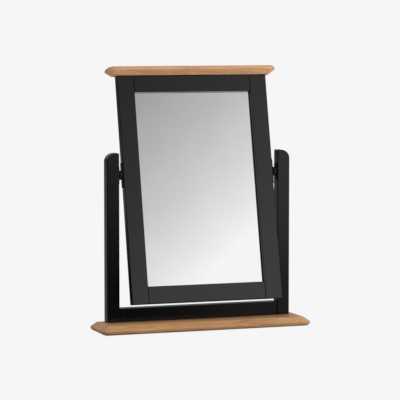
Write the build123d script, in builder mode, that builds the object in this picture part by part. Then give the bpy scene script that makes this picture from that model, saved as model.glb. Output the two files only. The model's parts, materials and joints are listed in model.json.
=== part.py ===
from build123d import *
import os
from math import cos, radians, sin

os.makedirs("parts", exist_ok=True)

# A table mirror that tilts between two posts on a wooden base board.
# X runs along the base, Y from front to back, and Z up from the surface it stands on.
# The origin is the centre of the felt underneath. Sizes are in millimetres.

# Edge of both oak boards: one face rounded over, a narrow nose, and a wide bevel up to the other face
round_over = 8.0
nose_height = 1.0
wide_bevel = 15.0
flat_corner_radius = 1.0

# Base board, rounded over below, and the felt under it
base_thickness = 19.2
end_margin = 15.5
back_margin = 7.5
front_shelf = 53.0
felt_thickness = 0.8
felt_margin = 2.0

# Posts and the rail between them
post_width = 29.5
post_depth = 24.0
post_above_pivot = 50.5
post_outer_corner = 20.0
post_inner_corner = 2.5
stand_rail_height = 31.6
stand_rail_depth = 24.0
arris_radius = 1.5

# Mirror frame, in its own upright sizes, counted up and down from the pivot line
rest_tilt = 12.25
frame_width = 363.0
frame_above_pivot = 228.0
frame_below_pivot = 296.0
stile_width = 40.0
top_rail_height = 39.5
bottom_rail_height = 39.5
lip_thickness = 7.0
rebate_width = 6.0
swing_clearance = 7.4

# Cap board, rounded over above, and how far its flat underside stands out from the frame's faces
cap_thickness = 19.5
cap_overhang = 22.8
cap_front_step = 2.5
cap_back_step = 0.5

# Glass, the panel behind it and the clips that hold both
glass_thickness = 4.0
panel_thickness = 7.0
glass_clearance = 1.0
clip_length = 28.0
clip_width = 11.0
clip_thickness = 1.2
clip_screw_inset = 6.5
clips_on_stile = 3
clips_on_rail = 2

# Pivots: two screwed plates, each with a round boss, and two washers on a pin between them
drum_diameter = 22.0
boss_chamfer = 0.4
pin_diameter = 8.0
pin_head_diameter = 12.0
pin_head_thickness = 2.5
plate_thickness = 2.0
plate_corner_radius = 2.5
post_plate_width = 14.0
post_plate_ear = 8.5
post_boss_length = 2.2
frame_plate_width = 13.0
frame_plate_ear = 17.5
frame_boss_length = 2.5
friction_washer_diameter = 21.0
friction_washer_thickness = 1.2
spring_washer_diameter = 20.0
spring_washer_thickness = 0.6
spring_washer_dish = 0.4

# Screws and dowels
base_screw_diameter = 4.0
base_screw_head = 8.0
base_screw_length = 40.0
post_screw_spacing = 10.0
rail_screw_spacing = 120.0
plate_screw_diameter = 3.0
plate_screw_head = 6.0
plate_screw_length = 14.0
clip_screw_diameter = 3.0
clip_screw_head = 6.5
clip_screw_crown = 4.5
clip_screw_head_height = 2.0
clip_slot_depth = 1.2
clip_screw_length = 10.0
cross_slot_share = 0.25
dowel_diameter = 6.0
dowel_spacing = 14.0
frame_dowel_length = 40.0
rail_dowel_in_rail = 20.0
cap_dowel_length = 26.0
cap_dowel_in_cap = 12.0
cap_dowel_inset = 9.0
cap_dowel_count = 4

# Clearances
running_fit = 0.05
running_gap = 0.3
close_fit = 0.05
washer_fit = 0.2
head_clearance = 0.15
end_clearance = 0.5
dowel_to_screw = 2.0

# Levels and places that follow from the sizes above
board_bottom = felt_thickness
board_top = board_bottom + base_thickness
frame_thickness = lip_thickness + glass_thickness + panel_thickness
frame_boss_end = plate_thickness + frame_boss_length
spring_washer_end = frame_boss_end + spring_washer_thickness + spring_washer_dish
friction_washer_end = spring_washer_end + friction_washer_thickness
side_gap = friction_washer_end + running_gap + post_boss_length + plate_thickness
post_gap = frame_width + 2 * side_gap
post_x = (post_gap + post_width) / 2
base_width = post_gap + 2 * (post_width + end_margin + wide_bevel)
base_depth = front_shelf + post_depth + back_margin + 2 * wide_bevel
post_y = base_depth / 2 - wide_bevel - back_margin - post_depth / 2
pivot_z = board_top + stand_rail_height + swing_clearance + frame_below_pivot
post_top = pivot_z + post_above_pivot
opening_width = frame_width - 2 * stile_width
opening_top = frame_above_pivot - top_rail_height
opening_bottom = bottom_rail_height - frame_below_pivot
opening_height = opening_top - opening_bottom
opening_middle = (opening_top + opening_bottom) / 2
cap_width = frame_width + 2 * cap_overhang
cap_depth = cap_front_step + frame_thickness + cap_back_step + 2 * wide_bevel
cap_forward = (cap_front_step - cap_back_step) / 2
post_plate_length = drum_diameter + 2 * post_plate_ear
post_screw_reach = (drum_diameter + post_plate_ear) / 2
frame_plate_length = drum_diameter + 2 * frame_plate_ear
frame_screw_reach = (drum_diameter + frame_plate_ear) / 2
sides = (("left", -1), ("right", 1))

# Planes of the tilted mirror: x across it, y up its frame and z out of its face
up = Vector(0, sin(radians(rest_tilt)), cos(radians(rest_tilt)))
facing = Vector(0, -cos(radians(rest_tilt)), sin(radians(rest_tilt)))
mirror_plane = Plane(origin=(0, post_y, pivot_z), x_dir=(1, 0, 0), z_dir=facing)
front_plane = mirror_plane.offset(frame_thickness / 2)
lip_plane = front_plane.offset(-lip_thickness)
up_axis = Axis((0, post_y, pivot_z), up)


def on_mirror(x, height, out=0.0):
    """A point given across, up and out of the tilted mirror."""
    return mirror_plane.from_local_coords((x, height, out))


def stile_side(x_sign, height=0.0):
    """The outer side of a stile, x up the frame and z outwards, at a height above the pivot."""
    return Plane(origin=on_mirror(x_sign * frame_width / 2, height), x_dir=up, z_dir=(x_sign, 0, 0))


def post_side(x_sign, height=0.0):
    """The inner side of a post, x upwards and z towards the mirror, at a height above the pivot."""
    origin = (x_sign * post_gap / 2, post_y, pivot_z + height)
    return Plane(origin=origin, x_dir=(0, 0, 1), z_dir=(-x_sign, 0, 0))


def edged_board(plane, length, width, thickness):
    """A board standing on a plane, rounded over all round there and bevelled wide at its far face."""
    depth_axis = Axis(plane.origin, plane.z_dir)
    with BuildPart() as board:
        with BuildSketch(plane):
            RectangleRounded(length, width, wide_bevel + flat_corner_radius)
        extrude(amount=thickness)
        fillet(board.faces().sort_by(depth_axis)[0].edges(), radius=round_over)
        far_face = board.faces().sort_by(depth_axis)[-1]
        bevel_height = thickness - round_over - nose_height
        chamfer(far_face.edges(), length=wide_bevel, length2=bevel_height, reference=far_face)
    return board


def round_bars(planes, diameter, length):
    """Plain round bars, each with its middle on a plane and its length along the plane's z."""
    with BuildPart() as bars:
        with Locations(*planes):
            Cylinder(diameter / 2, length)
    return bars


def cut_cross_slots(planes, slot_length, slot_depth):
    """Cut two crossed slots into each screw head whose top lies on a plane."""
    inwards = (Align.CENTER, Align.CENTER, Align.MAX)
    with Locations(*planes):
        Box(slot_length, slot_length * cross_slot_share, slot_depth, align=inwards, mode=Mode.SUBTRACT)
        Box(slot_length * cross_slot_share, slot_length, slot_depth, align=inwards, mode=Mode.SUBTRACT)


def countersunk_screws(planes, diameter, head, length):
    """Flat-headed screws with crossed slots, each driven into its plane and flush with it."""
    head_height = (head - diameter) / 2
    inwards = (Align.CENTER, Align.CENTER, Align.MAX)
    with BuildPart() as screws:
        with Locations(*planes):
            Cylinder(diameter / 2, length, align=inwards)
            Cone(diameter / 2, head / 2, head_height, align=inwards)
        cut_cross_slots(planes, diameter, head_height)
    return screws


def pivot_plate(side_plane, x_sign, length, width, boss_length, bore, screw_reach):
    """A plate with a round boss, bored for the pin and countersunk for a screw at each end."""
    plane = side_plane(x_sign)
    reaches = (-screw_reach, screw_reach)
    screw_planes = [side_plane(x_sign, reach).offset(plate_thickness) for reach in reaches]
    with BuildPart() as plate:
        with BuildSketch(plane):
            RectangleRounded(length, width, plate_corner_radius)
        extrude(amount=plate_thickness)
        with BuildSketch(plane.offset(plate_thickness)):
            Circle(drum_diameter / 2)
        extrude(amount=boss_length)
        boss_end = plate.faces().sort_by(Axis(plane.origin, plane.z_dir))[-1]
        chamfer(boss_end.edges(), length=boss_chamfer)
        with Locations(plane.offset(plate_thickness + boss_length)):
            Hole(bore / 2)
        with Locations(*screw_planes):
            CounterSinkHole(
                radius=plate_screw_diameter / 2 + head_clearance,
                counter_sink_radius=plate_screw_head / 2 + head_clearance,
                counter_sink_angle=90,
            )
    return plate


# Places of the screws and dowels
base_screw_points = [(i * rail_screw_spacing, post_y) for i in (-1, 0, 1)]
for side, x_sign in sides:
    for y in (post_y - post_screw_spacing / 2, post_y + post_screw_spacing / 2):
        base_screw_points.append((x_sign * post_x, y))
rail_dowel_in_post = (post_width - base_screw_diameter) / 2 - dowel_to_screw
rail_dowel_x = (post_gap + rail_dowel_in_post - rail_dowel_in_rail) / 2
rail_dowel_middle = board_top + stand_rail_height / 2
rail_dowel_planes = [
    Plane(origin=(x_sign * rail_dowel_x, post_y, z), z_dir=(1, 0, 0))
    for side, x_sign in sides
    for z in (rail_dowel_middle - dowel_spacing / 2, rail_dowel_middle + dowel_spacing / 2)
]
frame_joints = (
    (opening_top + rebate_width + frame_above_pivot) / 2,
    (opening_bottom - rebate_width - frame_below_pivot) / 2,
)
frame_dowel_planes = [
    Plane(origin=on_mirror(x_sign * opening_width / 2, joint + step), z_dir=(1, 0, 0))
    for side, x_sign in sides
    for joint in frame_joints
    for step in (-dowel_spacing / 2, dowel_spacing / 2)
]
cap_dowel_first = cap_dowel_inset - frame_width / 2
cap_dowel_step = -2 * cap_dowel_first / (cap_dowel_count - 1)
cap_dowel_middle = frame_above_pivot + cap_dowel_in_cap - cap_dowel_length / 2
cap_dowel_planes = [
    Plane(origin=on_mirror(cap_dowel_first + i * cap_dowel_step, cap_dowel_middle), z_dir=up)
    for i in range(cap_dowel_count)
]

# Places of the clips, each on its screw with its tip pointing over the panel
clip_x = opening_width / 2 + rebate_width + clip_screw_inset
clip_top = opening_top + rebate_width + clip_screw_inset
clip_bottom = opening_bottom - rebate_width - clip_screw_inset
clip_out = -frame_thickness / 2
clip_planes = []
for i in range(clips_on_stile):
    height = opening_bottom + (i + 0.5) * opening_height / clips_on_stile
    for side, x_sign in sides:
        place = on_mirror(x_sign * clip_x, height, clip_out)
        clip_planes.append(Plane(origin=place, x_dir=(-x_sign, 0, 0), z_dir=-facing))
for i in range(clips_on_rail):
    x = ((i + 0.5) / clips_on_rail - 0.5) * opening_width
    clip_planes.append(Plane(origin=on_mirror(x, clip_top, clip_out), x_dir=-up, z_dir=-facing))
    clip_planes.append(Plane(origin=on_mirror(x, clip_bottom, clip_out), x_dir=up, z_dir=-facing))

# Holes for the dowels and the clips' screws, and the rebate behind the frame's lip
dowel_bore = dowel_diameter + 2 * close_fit
rail_dowel_length = rail_dowel_in_rail + rail_dowel_in_post
rail_dowel_holes = round_bars(rail_dowel_planes, dowel_bore, rail_dowel_length + 2 * end_clearance)
frame_dowel_holes = round_bars(frame_dowel_planes, dowel_bore, frame_dowel_length + 2 * end_clearance)
cap_dowel_holes = round_bars(cap_dowel_planes, dowel_bore, cap_dowel_length + 2 * end_clearance)
clip_hole_depth = clip_screw_length - clip_thickness + end_clearance
clip_screw_holes = round_bars(
    [plane.offset(-clip_hole_depth / 2) for plane in clip_planes],
    clip_screw_diameter + 2 * close_fit,
    clip_hole_depth,
)
with BuildPart() as rebate:
    with BuildSketch(lip_plane):
        with Locations((0, opening_middle)):
            Rectangle(opening_width + 2 * rebate_width, opening_height + 2 * rebate_width)
    extrude(amount=-frame_thickness)
frame_cuts = (rebate, frame_dowel_holes, cap_dowel_holes, clip_screw_holes)


def screws_upwards(level):
    """The planes at a level from which the base's screws point up."""
    return [Plane(origin=(x, y, level), x_dir=(1, 0, 0), z_dir=(0, 0, -1)) for x, y in base_screw_points]


# Base board
with BuildPart() as base_board:
    add(edged_board(Plane.XY.offset(board_bottom), base_width, base_depth, base_thickness).part)
    with Locations(*screws_upwards(board_bottom)):
        CounterSinkHole(
            radius=base_screw_diameter / 2 + close_fit,
            counter_sink_radius=base_screw_head / 2 + head_clearance,
            counter_sink_angle=90,
        )
base_board.part.label = "base_board"
export_step(base_board.part, "parts/base_board.step")

# Felt under the board
with BuildPart() as base_felt:
    with BuildSketch(Plane.XY):
        felt_inset = 2 * (round_over + felt_margin)
        Rectangle(base_width - felt_inset, base_depth - felt_inset)
    extrude(amount=felt_thickness)
base_felt.part.label = "base_felt"
export_step(base_felt.part, "parts/base_felt.step")

# Posts, with their outer top corners well rounded and their inner ones a little
base_screw_depth = base_screw_length - base_thickness + end_clearance
plate_screw_depth = plate_screw_length - plate_thickness + end_clearance
for side, x_sign in sides:
    with BuildPart() as post:
        with BuildSketch(Plane.XY.offset(board_top)):
            with Locations((x_sign * post_x, post_y)):
                Rectangle(post_width, post_depth)
        extrude(amount=post_top - board_top)
        top_corners = post.edges().filter_by(Axis.Y).group_by(Axis.Z)[-1].sort_by(Axis.X, reverse=x_sign > 0)
        fillet(top_corners[0], radius=post_outer_corner)
        top_corners = post.edges().filter_by(Axis.Y).group_by(Axis.Z)[-1].sort_by(Axis.X, reverse=x_sign > 0)
        fillet(top_corners[-1], radius=post_inner_corner)
        outlines = post.faces().filter_by(Axis.Y).edges()
        fillet(outlines - outlines.group_by(Axis.Z)[0], radius=arris_radius)
        add(rail_dowel_holes.part, mode=Mode.SUBTRACT)
        with Locations(*screws_upwards(board_top)):
            Hole(base_screw_diameter / 2 + close_fit, depth=base_screw_depth)
        with Locations(post_side(x_sign, -post_screw_reach), post_side(x_sign, post_screw_reach)):
            Hole(plate_screw_diameter / 2 + close_fit, depth=plate_screw_depth)
    post.part.label = f"{side}_post"
    export_step(post.part, f"parts/{side}_post.step")

# Rail between the posts
with BuildPart() as stand_rail:
    with BuildSketch(Plane.XY.offset(board_top)):
        with Locations((0, post_y)):
            Rectangle(post_gap, stand_rail_depth)
    extrude(amount=stand_rail_height)
    fillet(stand_rail.edges().filter_by(Axis.X).group_by(Axis.Z)[-1], radius=arris_radius)
    add(rail_dowel_holes.part, mode=Mode.SUBTRACT)
    with Locations(*screws_upwards(board_top)):
        Hole(base_screw_diameter / 2 + close_fit, depth=base_screw_depth)
stand_rail.part.label = "stand_rail"
export_step(stand_rail.part, "parts/stand_rail.step")

# Dowels between the rail and the posts
rail_dowels = round_bars(rail_dowel_planes, dowel_diameter, rail_dowel_length)
rail_dowels.part.label = "rail_dowels"
export_step(rail_dowels.part, "parts/rail_dowels.step")

# Screws up through the base into the posts and the rail
base_screws = countersunk_screws(
    screws_upwards(board_bottom), base_screw_diameter, base_screw_head, base_screw_length
)
base_screws.part.label = "base_screws"
export_step(base_screws.part, "parts/base_screws.step")

# Stiles of the mirror frame, running its full height
for side, x_sign in sides:
    with BuildPart() as stile:
        with BuildSketch(front_plane):
            stile_x = x_sign * (frame_width - stile_width) / 2
            with Locations((stile_x, (frame_above_pivot - frame_below_pivot) / 2)):
                Rectangle(stile_width, frame_above_pivot + frame_below_pivot)
        extrude(amount=-frame_thickness)
        outer_edges = stile.edges().filter_by(up_axis).group_by(Axis.X, reverse=x_sign > 0)[0]
        lower_edges = stile.edges().filter_by(Axis.X).group_by(up_axis)[0]
        fillet(outer_edges + lower_edges, radius=arris_radius)
        for cut in frame_cuts:
            add(cut.part, mode=Mode.SUBTRACT)
        with Locations(stile_side(x_sign)):
            Hole(pin_head_diameter / 2 + washer_fit, depth=pin_head_thickness + end_clearance)
        with Locations(stile_side(x_sign, -frame_screw_reach), stile_side(x_sign, frame_screw_reach)):
            Hole(plate_screw_diameter / 2 + close_fit, depth=plate_screw_depth)
    stile.part.label = f"{side}_stile"
    export_step(stile.part, f"parts/{side}_stile.step")

# Rails of the mirror frame, fitted between the stiles
with BuildPart() as top_rail:
    with BuildSketch(front_plane):
        with Locations((0, (opening_top + frame_above_pivot) / 2)):
            Rectangle(opening_width, top_rail_height)
    extrude(amount=-frame_thickness)
    for cut in frame_cuts:
        add(cut.part, mode=Mode.SUBTRACT)
top_rail.part.label = "top_rail"
export_step(top_rail.part, "parts/top_rail.step")

with BuildPart() as bottom_rail:
    with BuildSketch(front_plane):
        with Locations((0, (opening_bottom - frame_below_pivot) / 2)):
            Rectangle(opening_width, bottom_rail_height)
    extrude(amount=-frame_thickness)
    fillet(bottom_rail.edges().filter_by(Axis.X).group_by(up_axis)[0], radius=arris_radius)
    for cut in frame_cuts:
        add(cut.part, mode=Mode.SUBTRACT)
bottom_rail.part.label = "bottom_rail"
export_step(bottom_rail.part, "parts/bottom_rail.step")

# Dowels at the frame's corners
frame_dowels = round_bars(frame_dowel_planes, dowel_diameter, frame_dowel_length)
frame_dowels.part.label = "frame_dowels"
export_step(frame_dowels.part, "parts/frame_dowels.step")

# Cap board over the frame
cap_top = Plane(
    origin=on_mirror(0, frame_above_pivot + cap_thickness, cap_forward), x_dir=(1, 0, 0), z_dir=-up
)
with BuildPart() as top_cap:
    add(edged_board(cap_top, cap_width, cap_depth, cap_thickness).part)
    add(cap_dowel_holes.part, mode=Mode.SUBTRACT)
top_cap.part.label = "top_cap"
export_step(top_cap.part, "parts/top_cap.step")

# Dowels between the cap and the frame
cap_dowels = round_bars(cap_dowel_planes, dowel_diameter, cap_dowel_length)
cap_dowels.part.label = "cap_dowels"
export_step(cap_dowels.part, "parts/cap_dowels.step")

# Mirror glass in the rebate, and the panel behind it
pane_width = opening_width + 2 * (rebate_width - glass_clearance)
pane_height = opening_height + 2 * (rebate_width - glass_clearance)
with BuildPart() as mirror_glass:
    with BuildSketch(lip_plane):
        with Locations((0, opening_middle)):
            Rectangle(pane_width, pane_height)
    extrude(amount=-glass_thickness)
mirror_glass.part.label = "mirror_glass"
export_step(mirror_glass.part, "parts/mirror_glass.step")

with BuildPart() as backing_panel:
    with BuildSketch(lip_plane.offset(-glass_thickness)):
        with Locations((0, opening_middle)):
            Rectangle(pane_width, pane_height)
    extrude(amount=-panel_thickness)
backing_panel.part.label = "backing_panel"
export_step(backing_panel.part, "parts/backing_panel.step")

# Turning clips over the panel's edge
with BuildPart() as panel_clips:
    for plane in clip_planes:
        with BuildSketch(plane):
            with Locations(((clip_length - clip_width) / 2, 0)):
                SlotOverall(clip_length, clip_width)
            Circle(clip_screw_diameter / 2 + head_clearance, mode=Mode.SUBTRACT)
    extrude(amount=clip_thickness)
panel_clips.part.label = "panel_clips"
export_step(panel_clips.part, "parts/panel_clips.step")

# Round-headed screws of the clips
with BuildPart() as clip_screws:
    with Locations(*[plane.offset(clip_thickness) for plane in clip_planes]):
        Cylinder(clip_screw_diameter / 2, clip_screw_length, align=(Align.CENTER, Align.CENTER, Align.MAX))
        Cone(
            clip_screw_head / 2,
            clip_screw_crown / 2,
            clip_screw_head_height,
            align=(Align.CENTER, Align.CENTER, Align.MIN),
        )
    head_tops = [plane.offset(clip_thickness + clip_screw_head_height) for plane in clip_planes]
    cut_cross_slots(head_tops, clip_screw_diameter, clip_slot_depth)
clip_screws.part.label = "clip_screws"
export_step(clip_screws.part, "parts/clip_screws.step")

# Pivot hardware on each side, from the stile outwards to the post
for side, x_sign in sides:
    frame_plate = pivot_plate(
        stile_side,
        x_sign,
        frame_plate_length,
        frame_plate_width,
        frame_boss_length,
        pin_diameter + 2 * close_fit,
        frame_screw_reach,
    )
    frame_plate.part.label = f"{side}_frame_plate"
    export_step(frame_plate.part, f"parts/{side}_frame_plate.step")

    with BuildPart() as pivot_pin:
        with BuildSketch(stile_side(x_sign)):
            Circle(pin_head_diameter / 2)
        extrude(amount=-pin_head_thickness)
        with BuildSketch(stile_side(x_sign)):
            Circle(pin_diameter / 2)
        extrude(amount=side_gap - running_gap)
    pivot_pin.part.label = f"{side}_pivot_pin"
    export_step(pivot_pin.part, f"parts/{side}_pivot_pin.step")

    with BuildPart() as spring_washer:
        washer_origin = on_mirror(x_sign * (frame_width / 2 + frame_boss_end), 0)
        with BuildSketch(Plane(origin=washer_origin, x_dir=(0, 0, 1), z_dir=(0, x_sign, 0))):
            with BuildLine():
                inner = pin_diameter / 2 + washer_fit
                outer = spring_washer_diameter / 2
                Polyline(
                    (inner, spring_washer_dish),
                    (outer, 0),
                    (outer, spring_washer_thickness),
                    (inner, spring_washer_dish + spring_washer_thickness),
                    close=True,
                )
            make_face()
        revolve(axis=Axis(washer_origin, (1, 0, 0)))
    spring_washer.part.label = f"{side}_spring_washer"
    export_step(spring_washer.part, f"parts/{side}_spring_washer.step")

    with BuildPart() as friction_washer:
        with BuildSketch(stile_side(x_sign).offset(spring_washer_end)):
            Circle(friction_washer_diameter / 2)
            Circle(pin_diameter / 2 + washer_fit, mode=Mode.SUBTRACT)
        extrude(amount=friction_washer_thickness)
    friction_washer.part.label = f"{side}_friction_washer"
    export_step(friction_washer.part, f"parts/{side}_friction_washer.step")

    post_plate = pivot_plate(
        post_side,
        x_sign,
        post_plate_length,
        post_plate_width,
        post_boss_length,
        pin_diameter + 2 * running_fit,
        post_screw_reach,
    )
    post_plate.part.label = f"{side}_post_plate"
    export_step(post_plate.part, f"parts/{side}_post_plate.step")

# Screws of the pivot plates
frame_plate_screws = countersunk_screws(
    [
        stile_side(x_sign, reach).offset(plate_thickness)
        for side, x_sign in sides
        for reach in (-frame_screw_reach, frame_screw_reach)
    ],
    plate_screw_diameter,
    plate_screw_head,
    plate_screw_length,
)
frame_plate_screws.part.label = "frame_plate_screws"
export_step(frame_plate_screws.part, "parts/frame_plate_screws.step")

post_plate_screws = countersunk_screws(
    [
        post_side(x_sign, reach).offset(plate_thickness)
        for side, x_sign in sides
        for reach in (-post_screw_reach, post_screw_reach)
    ],
    plate_screw_diameter,
    plate_screw_head,
    plate_screw_length,
)
post_plate_screws.part.label = "post_plate_screws"
export_step(post_plate_screws.part, "parts/post_plate_screws.step")
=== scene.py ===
import json
import math

import bmesh
import bpy
import numpy as np
from mathutils import Matrix, Vector


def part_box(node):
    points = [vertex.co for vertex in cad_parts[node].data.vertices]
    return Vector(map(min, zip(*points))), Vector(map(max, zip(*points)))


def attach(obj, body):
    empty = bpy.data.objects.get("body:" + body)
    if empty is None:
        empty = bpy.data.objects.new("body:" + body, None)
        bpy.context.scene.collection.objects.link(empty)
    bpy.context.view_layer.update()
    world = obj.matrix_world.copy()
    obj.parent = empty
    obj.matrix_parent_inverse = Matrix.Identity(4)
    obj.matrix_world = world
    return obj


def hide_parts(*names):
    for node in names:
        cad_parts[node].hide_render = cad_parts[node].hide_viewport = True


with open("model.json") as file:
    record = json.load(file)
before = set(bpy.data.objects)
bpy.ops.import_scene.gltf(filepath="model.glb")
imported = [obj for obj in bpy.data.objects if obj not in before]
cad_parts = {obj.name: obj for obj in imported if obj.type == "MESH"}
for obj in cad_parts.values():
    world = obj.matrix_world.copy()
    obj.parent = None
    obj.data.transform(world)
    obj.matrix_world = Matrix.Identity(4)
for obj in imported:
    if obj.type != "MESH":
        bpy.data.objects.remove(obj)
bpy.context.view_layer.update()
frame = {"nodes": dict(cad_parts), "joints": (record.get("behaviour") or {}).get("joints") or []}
print("packed mirror loaded:", len(frame["nodes"]), "nodes")

mm = 0.001


# Camera, worked out from the photograph's perspective
cameraView = {
    "turn": 19.72,  # degrees: it stands left of the front and looks right
    "dip": 4.82,  # degrees: it looks down
    "focalPixels": 2148.85,  # the focal length in pixels of the photograph
    "photoPixels": 400,  # the photograph's width
    "sensorWidth": 36.0,  # millimetres, as the lens wants it
    "distance": 4920.3 * mm,
    "aimAcross": -2.69 * mm,  # where it aims, to its own right of the object's middle
    "aimHeight": 295.04 * mm,
    "farthest": 60.0,
}


def placeCamera(view):
    turn, dip = math.radians(view["turn"]), math.radians(view["dip"])
    ahead = Vector((math.sin(turn) * math.cos(dip), math.cos(turn) * math.cos(dip), -math.sin(dip)))
    rightward = Vector((math.cos(turn), -math.sin(turn), 0))
    upward = rightward.cross(ahead)
    spot = rightward * view["aimAcross"] + Vector((0, 0, view["aimHeight"])) - ahead * view["distance"]
    lens = bpy.data.cameras.new("photoCamera")
    lens.sensor_fit = "HORIZONTAL"
    lens.sensor_width = view["sensorWidth"]
    lens.lens = view["focalPixels"] * view["sensorWidth"] / view["photoPixels"]
    lens.clip_end = view["farthest"]
    camera = bpy.data.objects.new("photoCamera", lens)
    bpy.context.scene.collection.objects.link(camera)
    camera.matrix_world = Matrix.Translation(spot) @ Matrix((rightward, upward, -ahead)).transposed().to_4x4()
    bpy.context.scene.camera = camera


placeCamera(cameraView)
print("camera placed")


# Shapes. Every new piece is an outline carried along a line, in millimetres and in the piece's own axes.


# Rounds the corners of an outline (closed, counter-clockwise) or of a path (open). Each corner gives way to an
# arc: its centre stands off the corner along the mitre, and its direction turns evenly from one side's outward
# normal to the next. One more point, the shoulder, lies on the flat at either end of the arc, so that the flats
# shade flat. Gives the points, and the way in which each one moves when the outline is drawn in by one unit:
# along the arc's direction, which makes the corner tighter, or along the mitre, which keeps its radius.
def roundCorners(corners, radii, closed=True, mitred=False, steps=5, shoulder=0.25):
    corners = np.asarray(corners, float)
    before, after = np.roll(corners, 1, 0), np.roll(corners, -1, 0)
    radii = np.array(np.broadcast_to(radii, len(corners)), float)
    inner = slice(None) if closed else slice(1, -1)
    corner, radius = corners[inner], radii[inner][:, None]
    arriving, leaving = corner - before[inner], after[inner] - corner
    arriving /= np.linalg.norm(arriving, axis=1, keepdims=True)
    leaving /= np.linalg.norm(leaving, axis=1, keepdims=True)
    normalIn = arriving[:, ::-1] * (1, -1)
    normalOut = leaving[:, ::-1] * (1, -1)
    cosine = (normalIn * normalOut).sum(1, keepdims=True)
    mitre = (normalIn + normalOut) / (1 + cosine)
    side = np.sign(arriving[:, :1] * leaving[:, 1:] - arriving[:, 1:] * leaving[:, :1])
    turn = np.arccos(np.clip(cosine, -1, 1))[:, None]
    t = np.linspace(0, 1, steps + 1)[None, :, None]
    direction = np.sin((1 - t) * turn) * normalIn[:, None] + np.sin(t * turn) * normalOut[:, None]
    direction /= np.sin(turn)
    arc = (corner - side * radius * mitre)[:, None] + (side * radius)[:, None] * direction
    first = arc[:, :1] - shoulder * arriving[:, None]
    last = arc[:, -1:] + shoulder * leaving[:, None]
    points = np.concatenate((first, arc, last), 1)
    if mitred:
        drawIn = np.broadcast_to(mitre[:, None], points.shape)
    else:
        drawIn = np.concatenate((direction[:, :1], direction, direction[:, -1:]), 1)
        drawIn = np.where(radius[:, None] > 0, drawIn, mitre[:, None])
    points, drawIn = points.reshape(-1, 2), drawIn.reshape(-1, 2)
    if not closed:
        points, drawIn = np.concatenate((corners[:1], points, corners[-1:])), None
    return points, drawIn


# Carries an outline along a straight line: at each level, given as (distance along, amount drawn in), the ring is
# the outline less the amount times each point's own way in.
def carryOutline(outline, drawIn, levels):
    levels = np.asarray(levels, float)
    rings = np.empty((len(levels), len(outline), 3))
    rings[..., :2] = outline - levels[:, 1, None, None] * drawIn
    rings[..., 2] = levels[:, :1]
    return rings


meshCare = {
    "sameSpot": 2e-6,  # metres: points nearer than this are one
    "sliver": 1e-6,
    "smoothAngle": 32,  # degrees: a sharper fold than this is a true edge
}


# Merges doubled points, drops faces with no area, turns every face outwards and marks the true edges
def tidyMesh(mesh, care):
    work = bmesh.new()
    work.from_mesh(mesh)
    bmesh.ops.remove_doubles(work, verts=work.verts, dist=care["sameSpot"])
    bmesh.ops.dissolve_degenerate(work, edges=work.edges, dist=care["sliver"])
    bmesh.ops.recalc_face_normals(work, faces=work.faces)
    work.to_mesh(mesh)
    work.free()
    mesh.polygons.foreach_set("use_smooth", np.ones(len(mesh.polygons), bool))
    mesh.set_sharp_from_angle(angle=math.radians(care["smoothAngle"]))


# Turns rings of points (level, place on the ring, coordinate) into a closed mesh: four-sided faces between
# neighbouring rings, and one flat face over each end. The attribute boardPlace holds each point's own place with
# the grain's axis first, so that wood and lacquer follow the board, and grainShift picks the part of the pattern.
def ringsToMesh(name, rings, origin, axes, grainAxis=0, grainShift=(0, 0, 0)):
    levels, around = rings.shape[:2]
    number = np.arange(levels * around).reshape(levels, around)
    beside = np.roll(number, -1, 1)
    quads = np.stack((number[:-1], beside[:-1], beside[1:], number[1:]), -1).reshape(-1, 4)
    own = rings.reshape(-1, 3)
    points = (np.asarray(origin) + own @ np.asarray(axes, float)) * mm
    mesh = bpy.data.meshes.new(name)
    mesh.from_pydata(points.tolist(), [], quads.tolist() + [number[0, ::-1].tolist(), number[-1].tolist()])
    place = mesh.attributes.new("boardPlace", "FLOAT_VECTOR", "POINT")
    along = (np.roll(own, -grainAxis, 1) + np.asarray(grainShift)) * mm
    place.data.foreach_set("vector", along.astype(np.float32).ravel())
    tidyMesh(mesh, meshCare)
    return mesh


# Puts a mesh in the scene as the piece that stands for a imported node
def standFor(mesh, node, body, material):
    piece = bpy.data.objects.new(mesh.name, mesh)
    bpy.context.scene.collection.objects.link(piece)
    mesh.materials.append(material)
    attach(piece, body)
    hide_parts(node)


# Node helpers. An input is a plain value, or another node's output that gets linked to it.
def addNode(tree, kind, inputs=None, **settings):
    node = tree.nodes.new("ShaderNode" + kind)
    for key, value in settings.items():
        setattr(node, key, value)
    for key, value in (inputs or {}).items():
        if isinstance(value, bpy.types.NodeSocket):
            tree.links.new(value, node.inputs[key])
        else:
            node.inputs[key].default_value = value
    return node


def doMath(tree, operation, *values, clamp=False):
    return addNode(tree, "Math", dict(enumerate(values)), operation=operation, use_clamp=clamp).outputs[0]


def plus(tree, first, second):
    return doMath(tree, "ADD", first, second)


def less(tree, first, second):
    return doMath(tree, "SUBTRACT", first, second)


def times(tree, first, second, clamp=False):
    return doMath(tree, "MULTIPLY", first, second, clamp=clamp)


# Value times factor, plus extra
def timesPlus(tree, value, factor, extra, clamp=False):
    return doMath(tree, "MULTIPLY_ADD", value, factor, extra, clamp=clamp)


# First where the share is 0, second where it is 1, and evenly between them
def shareOut(tree, share, first, second):
    return plus(tree, times(tree, second, share), times(tree, first, less(tree, 1.0, share)))


def remap(tree, value, fromLow, fromHigh, toLow=0.0, toHigh=1.0, smooth=False):
    kind = "SMOOTHSTEP" if smooth else "LINEAR"
    inputs = {"Value": value, "From Min": fromLow, "From Max": fromHigh, "To Min": toLow, "To Max": toHigh}
    return addNode(tree, "MapRange", inputs, interpolation_type=kind, clamp=True).outputs["Result"]


def mixColor(tree, share, first, second, blend="MIX"):
    inputs = {0: share, 6: first, 7: second}
    return addNode(tree, "Mix", inputs, data_type="RGBA", blend_type=blend).outputs[2]


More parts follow.
